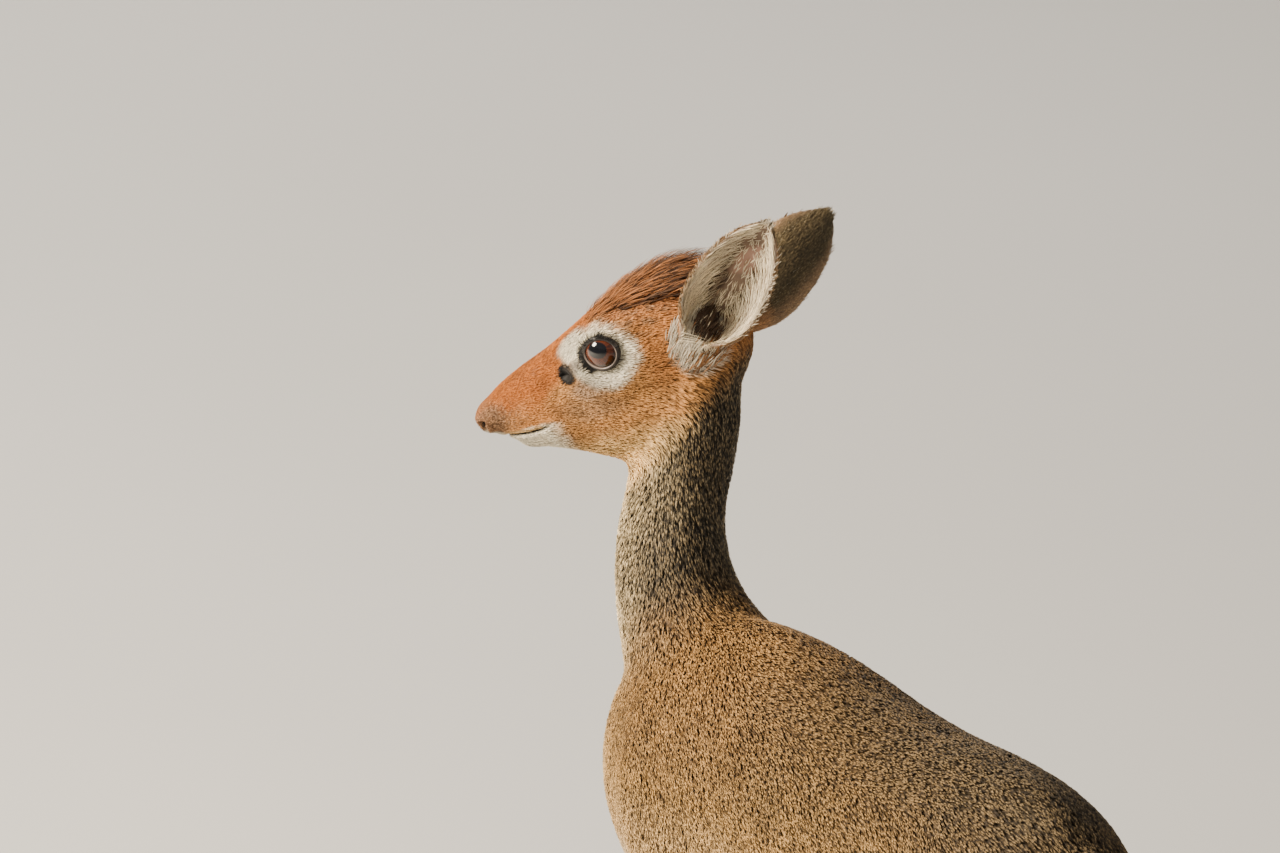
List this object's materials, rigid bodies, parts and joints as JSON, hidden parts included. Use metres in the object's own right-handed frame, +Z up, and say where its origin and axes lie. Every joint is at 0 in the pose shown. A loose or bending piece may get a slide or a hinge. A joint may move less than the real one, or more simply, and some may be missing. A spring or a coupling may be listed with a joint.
{
  "type": "standing dik-dik",
  "caption": "Life-size still dik-dik on slender legs and cloven hooves, head turned to its left, with large cupped ears, a short crest and a stubby tail.",
  "frame": {"origin": "centre of the bounding box's bottom, on the floor under the animal", "axes": "+Z up, -X the way the body faces, -Y the animal's left side"},
  "size_m": [0.4838, 0.1776, 0.5708],
  "materials": {
    "face_coat": "short rufous fur",
    "neck_coat": "grizzled grey-buff fur",
    "body_coat": "short ticked brown fur",
    "leg_coat": "short tan fur",
    "ear_coat": "thin skin with fine grey-brown and cream hair",
    "eye": "wet gloss",
    "hoof": "satin black horn"
  },
  "bodies": {
    "root": {"ear_left": "ear_coat", "ear_right": "ear_coat", "eye_left": "eye", "eye_right": "eye", "fore_leg_lower_left": "leg_coat", "fore_leg_lower_right": "leg_coat", "fore_leg_upper_left": "leg_coat", "fore_leg_upper_right": "leg_coat", "head": "face_coat", "hind_leg_lower_left": "leg_coat", "hind_leg_lower_right": "leg_coat", "hind_leg_upper_left": "leg_coat", "hind_leg_upper_right": "leg_coat", "hoof_fore_left_inner": "hoof", "hoof_fore_left_outer": "hoof", "hoof_fore_right_inner": "hoof", "hoof_fore_right_outer": "hoof", "hoof_hind_left_inner": "hoof", "hoof_hind_left_outer": "hoof", "hoof_hind_right_inner": "hoof", "hoof_hind_right_outer": "hoof", "neck": "neck_coat", "tail": "body_coat", "torso": "body_coat"}
  },
  "joints": []
}
